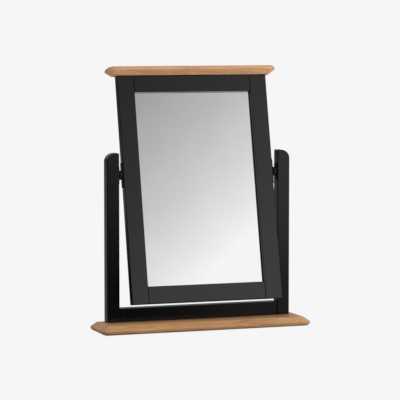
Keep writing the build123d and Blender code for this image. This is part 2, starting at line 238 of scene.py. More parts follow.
def greyOf(tree, value):
    return addNode(tree, "CombineColor", {0: value, 1: value, 2: value}).outputs[0]


# A noise, its scale one number or, to stretch it, one for each axis
def noise(tree, place, scale, detail=2.0, roughness=0.55):
    if isinstance(scale, tuple):
        place = addNode(tree, "Mapping", {"Vector": place, "Scale": scale}, vector_type="POINT").outputs[0]
        scale = 1.0
    inputs = {"Vector": place, "Scale": scale, "Detail": detail, "Roughness": roughness}
    return addNode(tree, "TexNoise", inputs).outputs["Fac"]


# A layer of a pattern: the part of a noise that counts, and what that part gives
def layer(tree, place, counts=(0.3, 0.7), gives=(0.0, 1.0), **kind):
    return remap(tree, noise(tree, place, **kind), *counts, *gives)


def newMaterial(name):
    material = bpy.data.materials.new(name)
    material.use_nodes = True
    tree = material.node_tree
    tree.nodes.clear()
    shader = addNode(tree, "BsdfPrincipled")
    addNode(tree, "OutputMaterial", {"Surface": shader.outputs[0]})
    return material, tree, shader


def newGroup(name, inputs, outputs):
    group = bpy.data.node_groups.new(name, "ShaderNodeTree")
    kinds = {"value": "NodeSocketFloat", "color": "NodeSocketColor", "vector": "NodeSocketVector"}
    for socketName, kind, default in inputs:
        socket = group.interface.new_socket(socketName, in_out="INPUT", socket_type=kinds[kind])
        if default is not None:
            socket.default_value = default
    for socketName, kind in outputs:
        group.interface.new_socket(socketName, in_out="OUTPUT", socket_type=kinds[kind])
    start, end = group.nodes.new("NodeGroupInput"), group.nodes.new("NodeGroupOutput")
    return group, start.outputs, end.inputs


def useGroup(tree, group, inputs):
    return addNode(tree, "Group", inputs, node_tree=group).outputs


black, white = (0, 0, 0, 1), (1, 1, 1, 1)
surfaceOutputs = [("Color", "color"), ("Roughness", "value"), ("Height", "value")]


# Effects that several materials share. Three numbers of scale go along the board, across it and through it.
oakPattern = {
    "wander": {"scale": (2.2, 16, 16)},  # how the log bends along its length
    "wanderReach": 0.03,  # metres, and so are the next two
    "staveReach": 0.05,  # how far apart in the log two staves may have grown
    "pithDepth": 0.03,
    "pithSlope": 0.035,
    "lateWood": (0.25, 0.9),  # where in a ring the dark wood sets in, and where it is full
    "ringEnd": (1.0, 0.93),
    "earlyWood": (0.45, 0.1),
    "pores": {"scale": (45, 1100, 1100), "detail": 1.0, "counts": (0.6, 0.72)},
    "poresInLate": 0.2,
    "fibre": {"scale": (9, 320, 320)},
    "fibreCounts": (0.3, 0.7),
    "cloud": {"scale": (16, 70, 70)},
    "streaks": {"scale": (30, 330, 330), "detail": 1.0, "counts": (0.56, 0.7)},
    "flecks": {"scale": (90, 420, 420), "detail": 1.0, "counts": (0.66, 0.74)},
    "blush": {"scale": (20, 45, 45), "detail": 1.0, "gives": (-0.06, 0.06)},
    "lateShare": 0.26,  # what each adds to the share of the dark colour
    "fibreShare": 0.26,
    "cloudShare": 0.30,
    "poreShare": 0.45,
    "fleckTone": 0.07,
    "greenFall": 1.15,  # a dark stave is also a warmer one: green and blue fall faster than red
    "blueFall": 1.3,
    "blueBlush": 0.8,
    "roughness": 0.34,
    "fibreRoughness": 0.12,
    "poreRoughness": 0.2,
    "fibreHeight": 0.35,
}


# Oak: growth rings are circles about a pith line that lies under the board, read as fractions of a ring and
# bent by slow noise. Pores are long thin dashes in the early wood of each ring. Fibres, clouds and short streaks
# darken it, pale flecks lighten it, and a slow blush makes it redder or greener. The board is glued up from
# staves, each with its own tone and its own part of the log.
def makeOakGrain(pattern):
    group, start, end = newGroup(
        "oakGrain",
        [
            ("Place", "vector", None), ("Light", "color", white), ("Dark", "color", black),
            ("Stave Width", "value", 0.05), ("Stave Length", "value", 0.3), ("Tone Spread", "value", 0.1),
            ("Ring Width", "value", 0.004), ("Streaks", "value", 0.5),
        ],
        surfaceOutputs,
    )
    place = start["Place"]
    x, y, z = addNode(group, "SeparateXYZ", {0: place}).outputs

    # staves
    row = doMath(group, "FLOOR", doMath(group, "DIVIDE", y, start["Stave Width"]))
    rowShift = addNode(group, "TexWhiteNoise", {"W": row}, noise_dimensions="1D").outputs["Value"]
    along = plus(group, doMath(group, "DIVIDE", x, start["Stave Length"]), rowShift)
    stave = addNode(group, "CombineXYZ", {0: doMath(group, "FLOOR", along), 1: row, 2: 0.5})
    chance = addNode(group, "TexWhiteNoise", {0: stave.outputs[0]}, noise_dimensions="3D")
    shiftAcross, shiftDown, staveTone = addNode(group, "SeparateColor", {0: chance.outputs["Color"]}).outputs

    # growth rings
    wander = noise(group, place, **pattern["wander"])
    sideways = timesPlus(group, wander, pattern["wanderReach"], y)
    sideways = timesPlus(group, shiftAcross, pattern["staveReach"], sideways)
    deep = timesPlus(group, shiftDown, pattern["staveReach"], plus(group, z, pattern["pithDepth"]))
    deep = timesPlus(group, x, pattern["pithSlope"], deep)
    squares = plus(group, doMath(group, "POWER", sideways, 2.0), doMath(group, "POWER", deep, 2.0))
    radius = doMath(group, "SQRT", squares)
    ring = doMath(group, "FRACT", doMath(group, "DIVIDE", radius, start["Ring Width"]))
    late = remap(group, ring, *pattern["lateWood"], smooth=True)
    late = times(group, late, remap(group, ring, *pattern["ringEnd"]))
    early = remap(group, ring, *pattern["earlyWood"])

    # what darkens it
    pores = layer(group, place, **pattern["pores"])
    pores = times(group, pores, timesPlus(group, early, 1 - pattern["poresInLate"], pattern["poresInLate"]))
    fibre = noise(group, place, **pattern["fibre"])
    threads = times(group, remap(group, fibre, *pattern["fibreCounts"]), pattern["fibreShare"])
    share = timesPlus(group, late, pattern["lateShare"], threads)
    share = plus(group, share, times(group, layer(group, place, **pattern["cloud"]), pattern["cloudShare"]))
    share = timesPlus(group, layer(group, place, **pattern["streaks"]), start["Streaks"], share)
    share = timesPlus(group, pores, pattern["poreShare"], share, clamp=True)
    color = mixColor(group, share, start["Light"], start["Dark"])

    # its tone, stave by stave
    tone = timesPlus(group, less(group, staveTone, 0.5), start["Tone Spread"], 1.0)
    tone = timesPlus(group, layer(group, place, **pattern["flecks"]), pattern["fleckTone"], tone)
    blush = layer(group, place, **pattern["blush"])
    green = times(group, doMath(group, "POWER", tone, pattern["greenFall"]), less(group, 1.0, blush))
    blue = doMath(group, "POWER", tone, pattern["blueFall"])
    blue = times(group, blue, timesPlus(group, blush, pattern["blueBlush"], 1.0))
    tint = addNode(group, "CombineColor", {0: tone, 1: green, 2: blue}).outputs[0]
    group.links.new(mixColor(group, 1.0, color, tint, "MULTIPLY"), end["Color"])

    rough = timesPlus(group, fibre, pattern["fibreRoughness"], pattern["roughness"])
    group.links.new(timesPlus(group, pores, pattern["poreRoughness"], rough), end["Roughness"])
    height = timesPlus(group, pores, -1.0, times(group, fibre, pattern["fibreHeight"]))
    group.links.new(height, end["Height"])
    return group


wearPattern = {
    "samples": 6,
    "turned": (0.995, 0.86),  # the cosine at which wear sets in, and at which it is full
    "patches": {"scale": 90.0, "detail": 3.0, "counts": (0.35, 0.6), "gives": (0.35, 1.0)},
}


# Worn arrises: how far the normal of a slightly rounded copy turns from the true one, broken up by noise
def makeEdgeWear(pattern):
    group, start, end = newGroup(
        "edgeWear",
        [("Place", "vector", None), ("Radius", "value", 0.0015), ("Strength", "value", 1.0)],
        [("Mask", "value")],
    )
    rounded = addNode(group, "Bevel", {"Radius": start["Radius"]}, samples=pattern["samples"]).outputs[0]
    true = addNode(group, "NewGeometry").outputs["Normal"]
    match = addNode(group, "VectorMath", {0: rounded, 1: true}, operation="DOT_PRODUCT").outputs["Value"]
    turned = remap(group, match, *pattern["turned"])
    mask = times(group, turned, layer(group, start["Place"], **pattern["patches"]))
    group.links.new(times(group, mask, start["Strength"], clamp=True), end["Mask"])
    return group


dustPattern = {
    "facing": (0.5, 1.0),  # how far up a face has to look
    "fine": {"scale": 700.0, "counts": (0.45, 0.75)},
    "broad": {"scale": 14.0, "gives": (0.3, 1.0)},
}


# Settled dust: more on faces that look up, in faint patches
def makeSettledDust(pattern):
    group, start, end = newGroup(
        "settledDust", [("Place", "vector", None), ("Amount", "value", 0.1)], [("Mask", "value")]
    )
    normal = addNode(group, "NewGeometry").outputs["Normal"]
    facing = addNode(group, "SeparateXYZ", {0: normal}).outputs[2]
    fine = times(group, remap(group, facing, *pattern["facing"]), layer(group, start["Place"], **pattern["fine"]))
    broad = times(group, layer(group, start["Place"], **pattern["broad"]), start["Amount"])
    group.links.new(times(group, fine, broad), end["Mask"])
    return group


skinPattern = {
    "peel": {"scale": 420.0, "detail": 1.0},
    "peelHeight": 0.5,
    "grain": {"scale": (14, 620, 620)},
    "marks": {"scale": 11.0, "detail": 4.0, "roughness": 0.6},
    "marksCount": (0.3, 0.7),
    "shade": (0.85, 1.15),
}


# Sprayed finish: a faint orange peel, the wood's grain telegraphing through it, and handling marks in the gloss
def makeSprayedSkin(pattern):
    group, start, end = newGroup(
        "sprayedSkin",
        [
            ("Place", "vector", None), ("Color", "color", black), ("Gloss Low", "value", 0.3),
            ("Gloss High", "value", 0.4), ("Grain", "value", 0.3),
        ],
        surfaceOutputs,
    )
    peel = times(group, noise(group, start["Place"], **pattern["peel"]), pattern["peelHeight"])
    grain = times(group, noise(group, start["Place"], **pattern["grain"]), start["Grain"])
    group.links.new(plus(group, grain, peel), end["Height"])
    marks = noise(group, start["Place"], **pattern["marks"])
    rough = remap(group, marks, *pattern["marksCount"], start["Gloss Low"], start["Gloss High"])
    group.links.new(rough, end["Roughness"])
    shade = greyOf(group, remap(group, marks, *pattern["marksCount"], *pattern["shade"]))
    group.links.new(mixColor(group, 1.0, start["Color"], shade, "MULTIPLY"), end["Color"])
    return group


matPattern = {
    "first": {"scale": (260, 1500, 1500)},
    "second": {"scale": (1500, 260, 1500)},
    "flecksCount": (0.56, 0.72),
    "threadsCount": (0.4, 0.7),
    "roughness": (0.85, 0.95),
}


# Loose or pressed fibres: short crossing threads of two noises stretched along different axes
def makeFibreMat(pattern):
    group, start, end = newGroup(
        "fibreMat",
        [
            ("Place", "vector", None), ("Color", "color", black), ("Fleck", "color", white),
            ("Scale", "value", 1.0),
        ],
        surfaceOutputs,
    )
    sizes = {0: start["Place"], "Scale": start["Scale"]}
    sized = addNode(group, "VectorMath", sizes, operation="SCALE").outputs[0]
    first, second = noise(group, sized, **pattern["first"]), noise(group, sized, **pattern["second"])
    threads = doMath(group, "MAXIMUM", first, second)
    flecks = remap(group, threads, *pattern["flecksCount"])
    group.links.new(mixColor(group, flecks, start["Color"], start["Fleck"]), end["Color"])
    group.links.new(remap(group, threads, *pattern["threadsCount"], *pattern["roughness"]), end["Roughness"])
    group.links.new(threads, end["Height"])
    return group


metalPattern = {
    "lines": {"scale": (1800, 1800, 300)},
    "linesCount": (0.3, 0.7),
    "roughness": (0.22, 0.38),
    "tarnish": {"scale": 160.0, "detail": 3.0, "counts": (0.45, 0.75)},
    "tarnishTint": (0.62, 0.58, 0.52, 1),
    "tarnishRoughness": 0.25,
}


# Drawn or turned metal: fine lines in the gloss, and a little tarnish
def makeTurnedMetal(pattern):
    group, start, end = newGroup(
        "turnedMetal", [("Place", "vector", None), ("Color", "color", white)], surfaceOutputs
    )
    lines = noise(group, start["Place"], **pattern["lines"])
    tarnish = layer(group, start["Place"], **pattern["tarnish"])
    dull = mixColor(group, 1.0, start["Color"], pattern["tarnishTint"], "MULTIPLY")
    group.links.new(mixColor(group, tarnish, start["Color"], dull), end["Color"])
    rough = remap(group, lines, *pattern["linesCount"], *pattern["roughness"])
    group.links.new(timesPlus(group, tarnish, pattern["tarnishRoughness"], rough), end["Roughness"])
    group.links.new(lines, end["Height"])
    return group


oakGrain = makeOakGrain(oakPattern)
edgeWear = makeEdgeWear(wearPattern)
settledDust = makeSettledDust(dustPattern)
sprayedSkin = makeSprayedSkin(skinPattern)
fibreMat = makeFibreMat(matPattern)
turnedMetal = makeTurnedMetal(metalPattern)


# Materials. New pieces read their place on the board, and carried-over ones their place in the object.
def boardPlace(tree):
    return addNode(tree, "Attribute", attribute_name="boardPlace").outputs["Vector"]


def objectPlace(tree):
    return addNode(tree, "TexCoord").outputs["Object"]


# Lays the worn colour along the arrises
def wearEdges(tree, place, color, look):
    wear = useGroup(tree, edgeWear, {"Place": place, "Radius": look["wearRadius"], "Strength": look["wear"]})
    return mixColor(tree, wear["Mask"], color, look["wornEdge"])


# Links a colour, a roughness and a relief to the shader, and sets what is the same all over
def finishSurface(tree, shader, color, roughness, height, look):
    tree.links.new(color, shader.inputs["Base Color"])
    tree.links.new(roughness, shader.inputs["Roughness"])
    shader.inputs["Metallic"].default_value = look["metallic"]
    shader.inputs["IOR"].default_value = look["refraction"]
    bump = addNode(tree, "Bump", {"Height": height, "Distance": look["reliefDepth"], "Strength": look["relief"]})
    tree.links.new(bump.outputs[0], shader.inputs["Normal"])


oakLook = {
    "light": (0.625, 0.352, 0.163, 1),
    "dark": (0.32, 0.14, 0.05, 1),
    "staveWidth": 47 * mm,
    "staveLength": 290 * mm,
    "toneSpread": 0.16,
    "ringWidth": 4.2 * mm,
    "streaks": 0.5,
    "wornEdge": (0.36, 0.19, 0.09, 1),
    "wearRadius": 1.6 * mm,
    "wear": 0.45,
    "dust": (0.55, 0.5, 0.44, 1),
    "dustAmount": 0.05,
    "dustRoughness": 0.5,
    "metallic": 0.0,
    "refraction": 1.5,
    "reliefDepth": 0.10 * mm,
    "relief": 0.6,
}
# The cap's oak, paler and warmer: partly its own board's tone, partly painted light for its dimly lit downward
# bevel
capOakLook = dict(oakLook, light=(0.69, 0.388, 0.204, 1), dark=(0.385, 0.183, 0.075, 1), streaks=0.25)


def makeOak(name, look):
    material, tree, shader = newMaterial(name)
    place = boardPlace(tree)
    grain = useGroup(tree, oakGrain, {
        "Place": place, "Light": look["light"], "Dark": look["dark"], "Stave Width": look["staveWidth"],
        "Stave Length": look["staveLength"], "Tone Spread": look["toneSpread"], "Ring Width": look["ringWidth"],
        "Streaks": look["streaks"],
    })
    dust = useGroup(tree, settledDust, {"Place": place, "Amount": look["dustAmount"]})["Mask"]
    color = mixColor(tree, dust, wearEdges(tree, place, grain["Color"], look), look["dust"])
    rough = timesPlus(tree, dust, look["dustRoughness"], grain["Roughness"])
    finishSurface(tree, shader, color, rough, grain["Height"], look)
    return material


lacquerLook = {
    "color": (0.0006, 0.0006, 0.0006, 1),
    "glossLow": 0.15,
    "glossHigh": 0.20,
    "grain": 0.5,
    "wornEdge": (0.012, 0.012, 0.012, 1),
    "wearRadius": 1.2 * mm,
    "wear": 0.2,
    "dust": (0.20, 0.19, 0.18, 1),
    "dustAmount": 0.015,
    "metallic": 0.0,
    "refraction": 1.6,
    "reliefDepth": 0.004 * mm,
    "relief": 0.5,
}
standLacquerLook = dict(lacquerLook, refraction=1.42)


def makeLacquer(name, look):
    material, tree, shader = newMaterial(name)
    place = boardPlace(tree)
    skin = useGroup(tree, sprayedSkin, {
        "Place": place, "Color": look["color"], "Gloss Low": look["glossLow"], "Gloss High": look["glossHigh"],
        "Grain": look["grain"],
    })
    dust = useGroup(tree, settledDust, {"Place": place, "Amount": look["dustAmount"]})["Mask"]
    color = mixColor(tree, dust, wearEdges(tree, place, skin["Color"], look), look["dust"])
    finishSurface(tree, shader, color, skin["Roughness"], skin["Height"], look)
    return material


silverLook = {
    "silver": (0.955, 0.957, 0.956, 1),
    "rim": (0.36, 0.37, 0.36, 1),
    "rimWidth": 2.5 * mm,
    "cloud": {"scale": 9.0, "gives": (0.0, 0.06)},
}


# The silver is a shade cloudy, and goes dark in a thin rim at the pane's edge, under the frame's lip
def makeSilver(look, halfWidth, halfHeight):
    material, tree, shader = newMaterial("silveredGlass")
    place = boardPlace(tree)
    up, sideways, _ = addNode(tree, "SeparateXYZ", {0: place}).outputs
    toEnd = less(tree, halfHeight * mm, doMath(tree, "ABSOLUTE", up))
    toSide = less(tree, halfWidth * mm, doMath(tree, "ABSOLUTE", sideways))
    rim = remap(tree, doMath(tree, "MINIMUM", toEnd, toSide), look["rimWidth"], 0.0)
    share = doMath(tree, "MAXIMUM", rim, layer(tree, place, **look["cloud"]))
    tree.links.new(mixColor(tree, share, look["silver"], look["rim"]), shader.inputs["Base Color"])
    shader.inputs["Metallic"].default_value = 1.0
    shader.inputs["Roughness"].default_value = 0.0
    return material


# Small parts and hidden sheets: the effect that makes each finish, and what goes into it
smallPart = {"metallic": 0.0, "refraction": 1.5, "relief": 0.7, "wearRadius": 0.4 * mm, "wear": 0.35}
smallLooks = {
    "blackEnamel": dict(
        smallPart, effect=sprayedSkin, wornEdge=(0.02, 0.02, 0.02, 1), refraction=1.35, reliefDepth=0.006 * mm,
        inputs={"Color": (0.0016, 0.0016, 0.0017, 1), "Gloss Low": 0.32, "Gloss High": 0.42, "Grain": 0.0},
    ),
    "plainSteel": dict(
        smallPart, effect=turnedMetal, wornEdge=(0.70, 0.70, 0.68, 1), metallic=1.0, reliefDepth=0.01 * mm,
        inputs={"Color": (0.60, 0.60, 0.58, 1)},
    ),
    "darkFibre": dict(
        smallPart, effect=fibreMat, reliefDepth=0.03 * mm,
        inputs={"Color": (0.022, 0.020, 0.019, 1), "Fleck": (0.05, 0.045, 0.04, 1), "Scale": 2.0},
    ),
    "greyFelt": dict(
        smallPart, effect=fibreMat, reliefDepth=0.25 * mm,
        inputs={"Color": (0.035, 0.035, 0.036, 1), "Fleck": (0.11, 0.11, 0.11, 1), "Scale": 0.8},
    ),
    "brownHardboard": dict(
        smallPart, effect=fibreMat, reliefDepth=0.05 * mm,
        inputs={"Color": (0.20, 0.105, 0.050, 1), "Fleck": (0.34, 0.20, 0.11, 1), "Scale": 0.6},
    ),
    "bareBeech": dict(
        smallPart, effect=fibreMat, reliefDepth=0.05 * mm,
        inputs={"Color": (0.52, 0.33, 0.19, 1), "Fleck": (0.42, 0.24, 0.12, 1), "Scale": 0.7},
    ),
}


def makeSmallMaterial(name, look):
    material, tree, shader = newMaterial(name)
    place = objectPlace(tree)
    effect = useGroup(tree, look["effect"], {"Place": place, **look["inputs"]})
    color = wearEdges(tree, place, effect["Color"], look) if "wornEdge" in look else effect["Color"]
    finishSurface(tree, shader, color, effect["Roughness"], effect["Height"], look)
    return material


satinOak = makeOak("satinOak", oakLook)
capOak = makeOak("capOak", capOakLook)
blackLacquer = makeLacquer("blackLacquer", lacquerLook)
standLacquer = makeLacquer("standLacquer", standLacquerLook)
smallMaterials = {name: makeSmallMaterial(name, look) for name, look in smallLooks.items()}
print("materials made")


# The stand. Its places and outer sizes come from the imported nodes.
toRight, toBack, toTop = (1, 0, 0), (0, 1, 0), (0, 0, 1)
rectangle = np.array(((-1, -1), (1, -1), (1, 1), (-1, 1)))


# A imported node's lowest and highest corners and its middle, in millimetres
def boxOf(node):
    low, high = (np.array(corner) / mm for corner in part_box(node))
    return low, high, (low + high) / 2


boardEdge = {
    "roundOver": 8.0,  # the radius of the lower edge
    "noseHeight": 1.0,  # the upright strip above it
    "noseRadius": 0.9,
    "wideBevel": 15.0,  # how far in the bevel reaches
    "flatRadius": 2.0,  # where the bevel meets the flat
    "flatCorner": 1.0,  # the flat's own corners in plan
    "flatMargin": 0.95,  # one more ring lies this far in on both flats, so that they shade flat
    "steps": 8,
}


# A board with its edge worked all round: a rectangle with round corners in plan, drawn in level by level along the
# edge's outline (round over, short nose, wide bevel), so that its corners tighten as they go in
def edgedBoard(length, width, thickness, edge):
    corners = rectangle * (length / 2, width / 2)
    outline, drawIn = roundCorners(corners, edge["wideBevel"] + edge["flatCorner"], steps=edge["steps"])
    path = (
        (0, edge["roundOver"] + edge["flatMargin"]), (0, 0), (edge["roundOver"] + edge["noseHeight"], 0),
        (thickness, edge["wideBevel"]), (thickness, edge["wideBevel"] + edge["flatMargin"]),
    )
    radii = (0, edge["roundOver"], edge["noseRadius"], edge["flatRadius"], 0)
    levels, _ = roundCorners(path, radii, closed=False, steps=edge["steps"])
    return carryOutline(outline, drawIn, levels)


baseShape = {"grainShift": (231, 80, 20)}


# The base is an edged board as large as its node, lying flat
def shapeBase(shape, edge):
    low, high, middle = boxOf("base_board")
    rings = edgedBoard(*(high - low), edge)
    origin = (middle[0], middle[1], low[2])
    mesh = ringsToMesh("baseBoard", rings, origin, (toRight, toBack, toTop), grainShift=shape["grainShift"])
    standFor(mesh, "base_board", "stand", satinOak)


shapeBase(baseShape, boardEdge)

footHeight = 1.0  # an outline's points below this stay down on the base when it is drawn in


# An outline that stands on the base: the points at its foot are drawn in sideways only
def standingOutline(corners, radii, **kind):
    outline, drawIn = roundCorners(corners, radii, **kind)
    return outline, drawIn * np.where(outline[:, 1:] < footHeight, (1, 0), (1, 1))


postShape = {
    "outerCorner": 20.0,
    "innerCorner": 2.5,
    "foot": 0.3,
    "arris": 1.5,
    "facePlay": 0.6,  # one more ring lies this far past the arris on both faces
    "cornerSteps": 12,
    "grainShift": 90,
}


# A post: its front outline, one top corner well rounded and the other a little, carried from front to back with
# a round arris at both faces
def shapePost(side, sign, shape):
    low, high, middle = boxOf(side + "_post")
    halfWidth, height, depth = (high[0] - low[0]) / 2, high[2] - low[2], high[1] - low[1]
    corners = ((-halfWidth, 0), (halfWidth, 0), (halfWidth, height), (-halfWidth, height))
    topRadii = (shape["outerCorner"], shape["innerCorner"])[::sign]
    radii = (shape["foot"], shape["foot"], *topRadii)
    outline, drawIn = standingOutline(corners, radii, steps=shape["cornerSteps"])
    end = shape["arris"] + shape["facePlay"]
    levels, _ = roundCorners(((0, end), (0, 0), (depth, 0), (depth, end)), shape["arris"], closed=False)
    rings = carryOutline(outline, drawIn, levels)
    origin, axes = (middle[0], low[1], low[2]), (toRight, toTop, toBack)
    grainShift = (0, shape["grainShift"] * sign, 0)
    mesh = ringsToMesh(side + "Post", rings, origin, axes, grainAxis=1, grainShift=grainShift)
    standFor(mesh, side + "_post", "stand", standLacquer)


shapePost("left", -1, postShape)
shapePost("right", 1, postShape)

railShape = {"arris": 1.5, "foot": 0.3, "endBevel": 2.0, "grainShift": (0, 200, 0)}


# The rail between the posts: its section, rounded along the top, carried across, and drawn in evenly at both ends
# for a flat bevel, which makes a groove where it meets a post
def shapeStandRail(shape):
    low, high, middle = boxOf("stand_rail")
    halfDepth, height, halfLength = (high[1] - low[1]) / 2, high[2] - low[2], (high[0] - low[0]) / 2
    corners = ((-halfDepth, 0), (halfDepth, 0), (halfDepth, height), (-halfDepth, height))
    radii = (shape["foot"], shape["foot"], shape["arris"], shape["arris"])
    outline, drawIn = standingOutline(corners, radii, mitred=True)
    bevel = shape["endBevel"]
    levels = ((-halfLength, bevel), (bevel - halfLength, 0), (halfLength - bevel, 0), (halfLength, bevel))
    rings = carryOutline(outline, drawIn, levels)
    origin, axes = (middle[0], middle[1], low[2]), (toBack, toTop, toRight)
    mesh = ringsToMesh("standRail", rings, origin, axes, grainAxis=2, grainShift=shape["grainShift"])
    standFor(mesh, "stand_rail", "stand", standLacquer)


shapeStandRail(railShape)
print("stand shaped")


# The tilted mirror, in its own axes: across, up its frame and out of its face, from the pivot line
mirrorSizes = {
    "tilt": 12.25,  # degrees
    "width": 363.0,
    "above": 228.0,  # from the pivot line to the frame's ends
    "below": 296.0,
    "thickness": 18.0,
    "stile": 40.0,
    "topRail": 39.5,
    "bottomRail": 39.5,
    "lip": 7.0,  # from the face back to the glass
    "rebate": 6.0,  # how far the glass reaches in behind the lip
}
tilt = math.radians(mirrorSizes["tilt"])
pivot = np.array(frame["joints"][0]["pos_m"]) / mm
across = np.array((1.0, 0.0, 0.0))
upFrame = np.array((0.0, math.sin(tilt), math.cos(tilt)))
outOfFace = np.array((0.0, -math.cos(tilt), math.sin(tilt)))
frameTop, frameBottom, frameHalf = mirrorSizes["above"], -mirrorSizes["below"], mirrorSizes["width"] / 2
openingTop = frameTop - mirrorSizes["topRail"]
openingBottom = frameBottom + mirrorSizes["bottomRail"]
openingHalf = frameHalf - mirrorSizes["stile"]
rebate = mirrorSizes["rebate"]
face = mirrorSizes["thickness"] / 2
lipBack = face - mirrorSizes["lip"]

frameEdges = {
    "arris": 1.5,
    "hiddenArris": 0.3,
    "innerBevel": 0.8,  # round the opening
    "endBevel": 1.1,  # where a rail meets the stiles
    "capBevel": 2.0,  # under the cap
    "endEase": 1.0,  # at a stile's lower end
    "endPlay": 0.35,  # one more ring lies this far past it
    "notchPlay": 0.6,  # how far from the notch's corners its points may lie
    "lipPlay": 0.2,
    "stileGrainShift": 300,
}


# The section of a frame length: a bar with a notch in one back corner for the glass, a small bevel along its inner
# edge, and a round arris or a bevel along its outer one
def notchedSection(inner, outer, edges, outerBevel=0.0):
    way = 1 if outer > inner else -1
    shelf, bevel = inner + way * rebate, edges["innerBevel"]
    front, frontRadii = [(outer, face)], [edges["arris"]]
    if outerBevel:
        front, frontRadii = [(outer, face - outerBevel), (outer - way * outerBevel, face)], [0.0, 0.0]
    corners = np.array([
        (inner + way * bevel, face), (inner, face - bevel), (inner, lipBack), (shelf, lipBack), (shelf, -face),
        (outer, -face), *front,
    ])
    radii = np.array([0.0, 0.0, edges["hiddenArris"], 0.0, edges["hiddenArris"], edges["arris"], *frontRadii])
    if way < 0:
        corners, radii = corners[::-1], radii[::-1]
    return corners, radii


# Rings along a frame length: no point of a ring stands further forward than the face less the level's amount,
# which bevels the front down at the ends
def bevelFront(outline, levels):
    rings = carryOutline(outline, np.zeros_like(outline), levels)
    rings[..., 1] = np.minimum(rings[..., 1], face - np.asarray(levels)[:, 1:])
    return rings


# A stile: its notched section carried from bottom to top. Above and below the rebate the notch is stopped: its
# points go back to the bar's own corner, and those on the lip's edge stay in line. The lower end is rounded over
# by an arc, and the upper one bevelled at the front under the cap.
def shapeStile(side, sign, edges):
    outline, drawIn = roundCorners(*notchedSection(sign * openingHalf, sign * frameHalf, edges))
    inward, forward = np.abs(outline[:, 0]), outline[:, 1]
    notch = (inward < openingHalf + rebate + edges["notchPlay"]) & (forward < lipBack + edges["notchPlay"])
    lipEdge = notch & (inward < openingHalf + edges["lipPlay"]) & (forward > lipBack - edges["lipPlay"])
    full, fullIn = outline.copy(), drawIn.copy()
    full[notch], fullIn[notch] = (sign * openingHalf, -face), (-sign, -1)
    full[lipEdge, 1], fullIn[lipEdge] = lipBack, (-sign, 0)
    notchBottom, notchTop = openingBottom - rebate, openingTop + rebate
    ease, bevel = edges["endEase"], edges["capBevel"]
    end, _ = roundCorners(
        ((frameBottom, ease + edges["endPlay"]), (frameBottom, 0), (0, 0)), ease, closed=False
    )
    rings = np.concatenate((
        carryOutline(full, fullIn, np.vstack((end[:-1], (notchBottom, 0)))),
        carryOutline(outline, drawIn, ((notchBottom, 0), (notchTop, 0))),
        bevelFront(full, ((notchTop, 0), (frameTop - bevel, 0), (frameTop, bevel))),
    ))
    axes, grainShift = (across, outOfFace, upFrame), (0, edges["stileGrainShift"] * sign, 0)
    mesh = ringsToMesh(side + "Stile", rings, pivot, axes, grainAxis=2, grainShift=grainShift)
    standFor(mesh, side + "_stile", "mirror", blackLacquer)


# A rail of the frame: its notched section carried across from stile to stile, its front bevelled down at both ends
def shapeFrameRail(name, node, inner, outer, edges, outerBevel=0.0):
    outline, _ = roundCorners(*notchedSection(inner, outer, edges, outerBevel))
    bevel = edges["endBevel"]
    rings = bevelFront(
        outline,
        ((-openingHalf, bevel), (bevel - openingHalf, 0), (openingHalf - bevel, 0), (openingHalf, bevel)),
    )
    mesh = ringsToMesh(name, rings, pivot, (upFrame, outOfFace, across), grainAxis=2, grainShift=(0, outer, 0))
    standFor(mesh, node, "mirror", blackLacquer)


shapeStile("left", -1, frameEdges)
shapeStile("right", 1, frameEdges)
shapeFrameRail("topRail", "top_rail", openingTop, frameTop, frameEdges, frameEdges["capBevel"])
shapeFrameRail("bottomRail", "bottom_rail", openingBottom, frameBottom, frameEdges)

capShape = {"length": 408.6, "depth": 51.0, "thickness": 19.5, "forward": 1.0, "grainShift": (300, 200, 0)}


# The cap is an edged board like the base, turned upside down on the frame
def shapeCap(shape, edge):
    rings = edgedBoard(shape["length"], shape["depth"], shape["thickness"], edge)
    origin = pivot + upFrame * (frameTop + shape["thickness"]) + outOfFace * shape["forward"]
    mesh = ringsToMesh("topCap", rings, origin, (across, outOfFace, -upFrame), grainShift=shape["grainShift"])
    standFor(mesh, "top_cap", "mirror", capOak)


shapeCap(capShape, boardEdge)

paneShape = {
    "clearance": 1.0,  # between the pane and the rebate's sides
    "thickness": 4.0,
    "sink": 2.6,  # how deep the silver seems to lie, looking through the glass before it
    "corner": 1.5,
    "ground": 0.3,  # its ground edges
    "facePlay": 0.6,
    "shoulder": 0.05,
}


# The pane: a rectangle with small corners carried from its back to its silver, with ground edges at both faces
def shapePane(shape):
    halfWidth = openingHalf + rebate - shape["clearance"]
    halfHeight = (openingTop - openingBottom) / 2 + rebate - shape["clearance"]
    outline, drawIn = roundCorners(rectangle * (halfWidth, halfHeight), shape["corner"])
    back, front, end = lipBack - shape["thickness"], lipBack - shape["sink"], shape["facePlay"]
    path = ((back, end), (back, 0), (front, 0), (front, end))
    levels, _ = roundCorners(path, shape["ground"], closed=False, shoulder=shape["shoulder"])
    rings = carryOutline(outline, drawIn, levels)
    origin = pivot + upFrame * (openingTop + openingBottom) / 2
    mesh = ringsToMesh("mirrorGlass", rings, origin, (across, upFrame, outOfFace), grainAxis=1)
    standFor(mesh, "mirror_glass", "mirror", makeSilver(silverLook, halfWidth, halfHeight))


shapePane(paneShape)
print("mirror shaped")


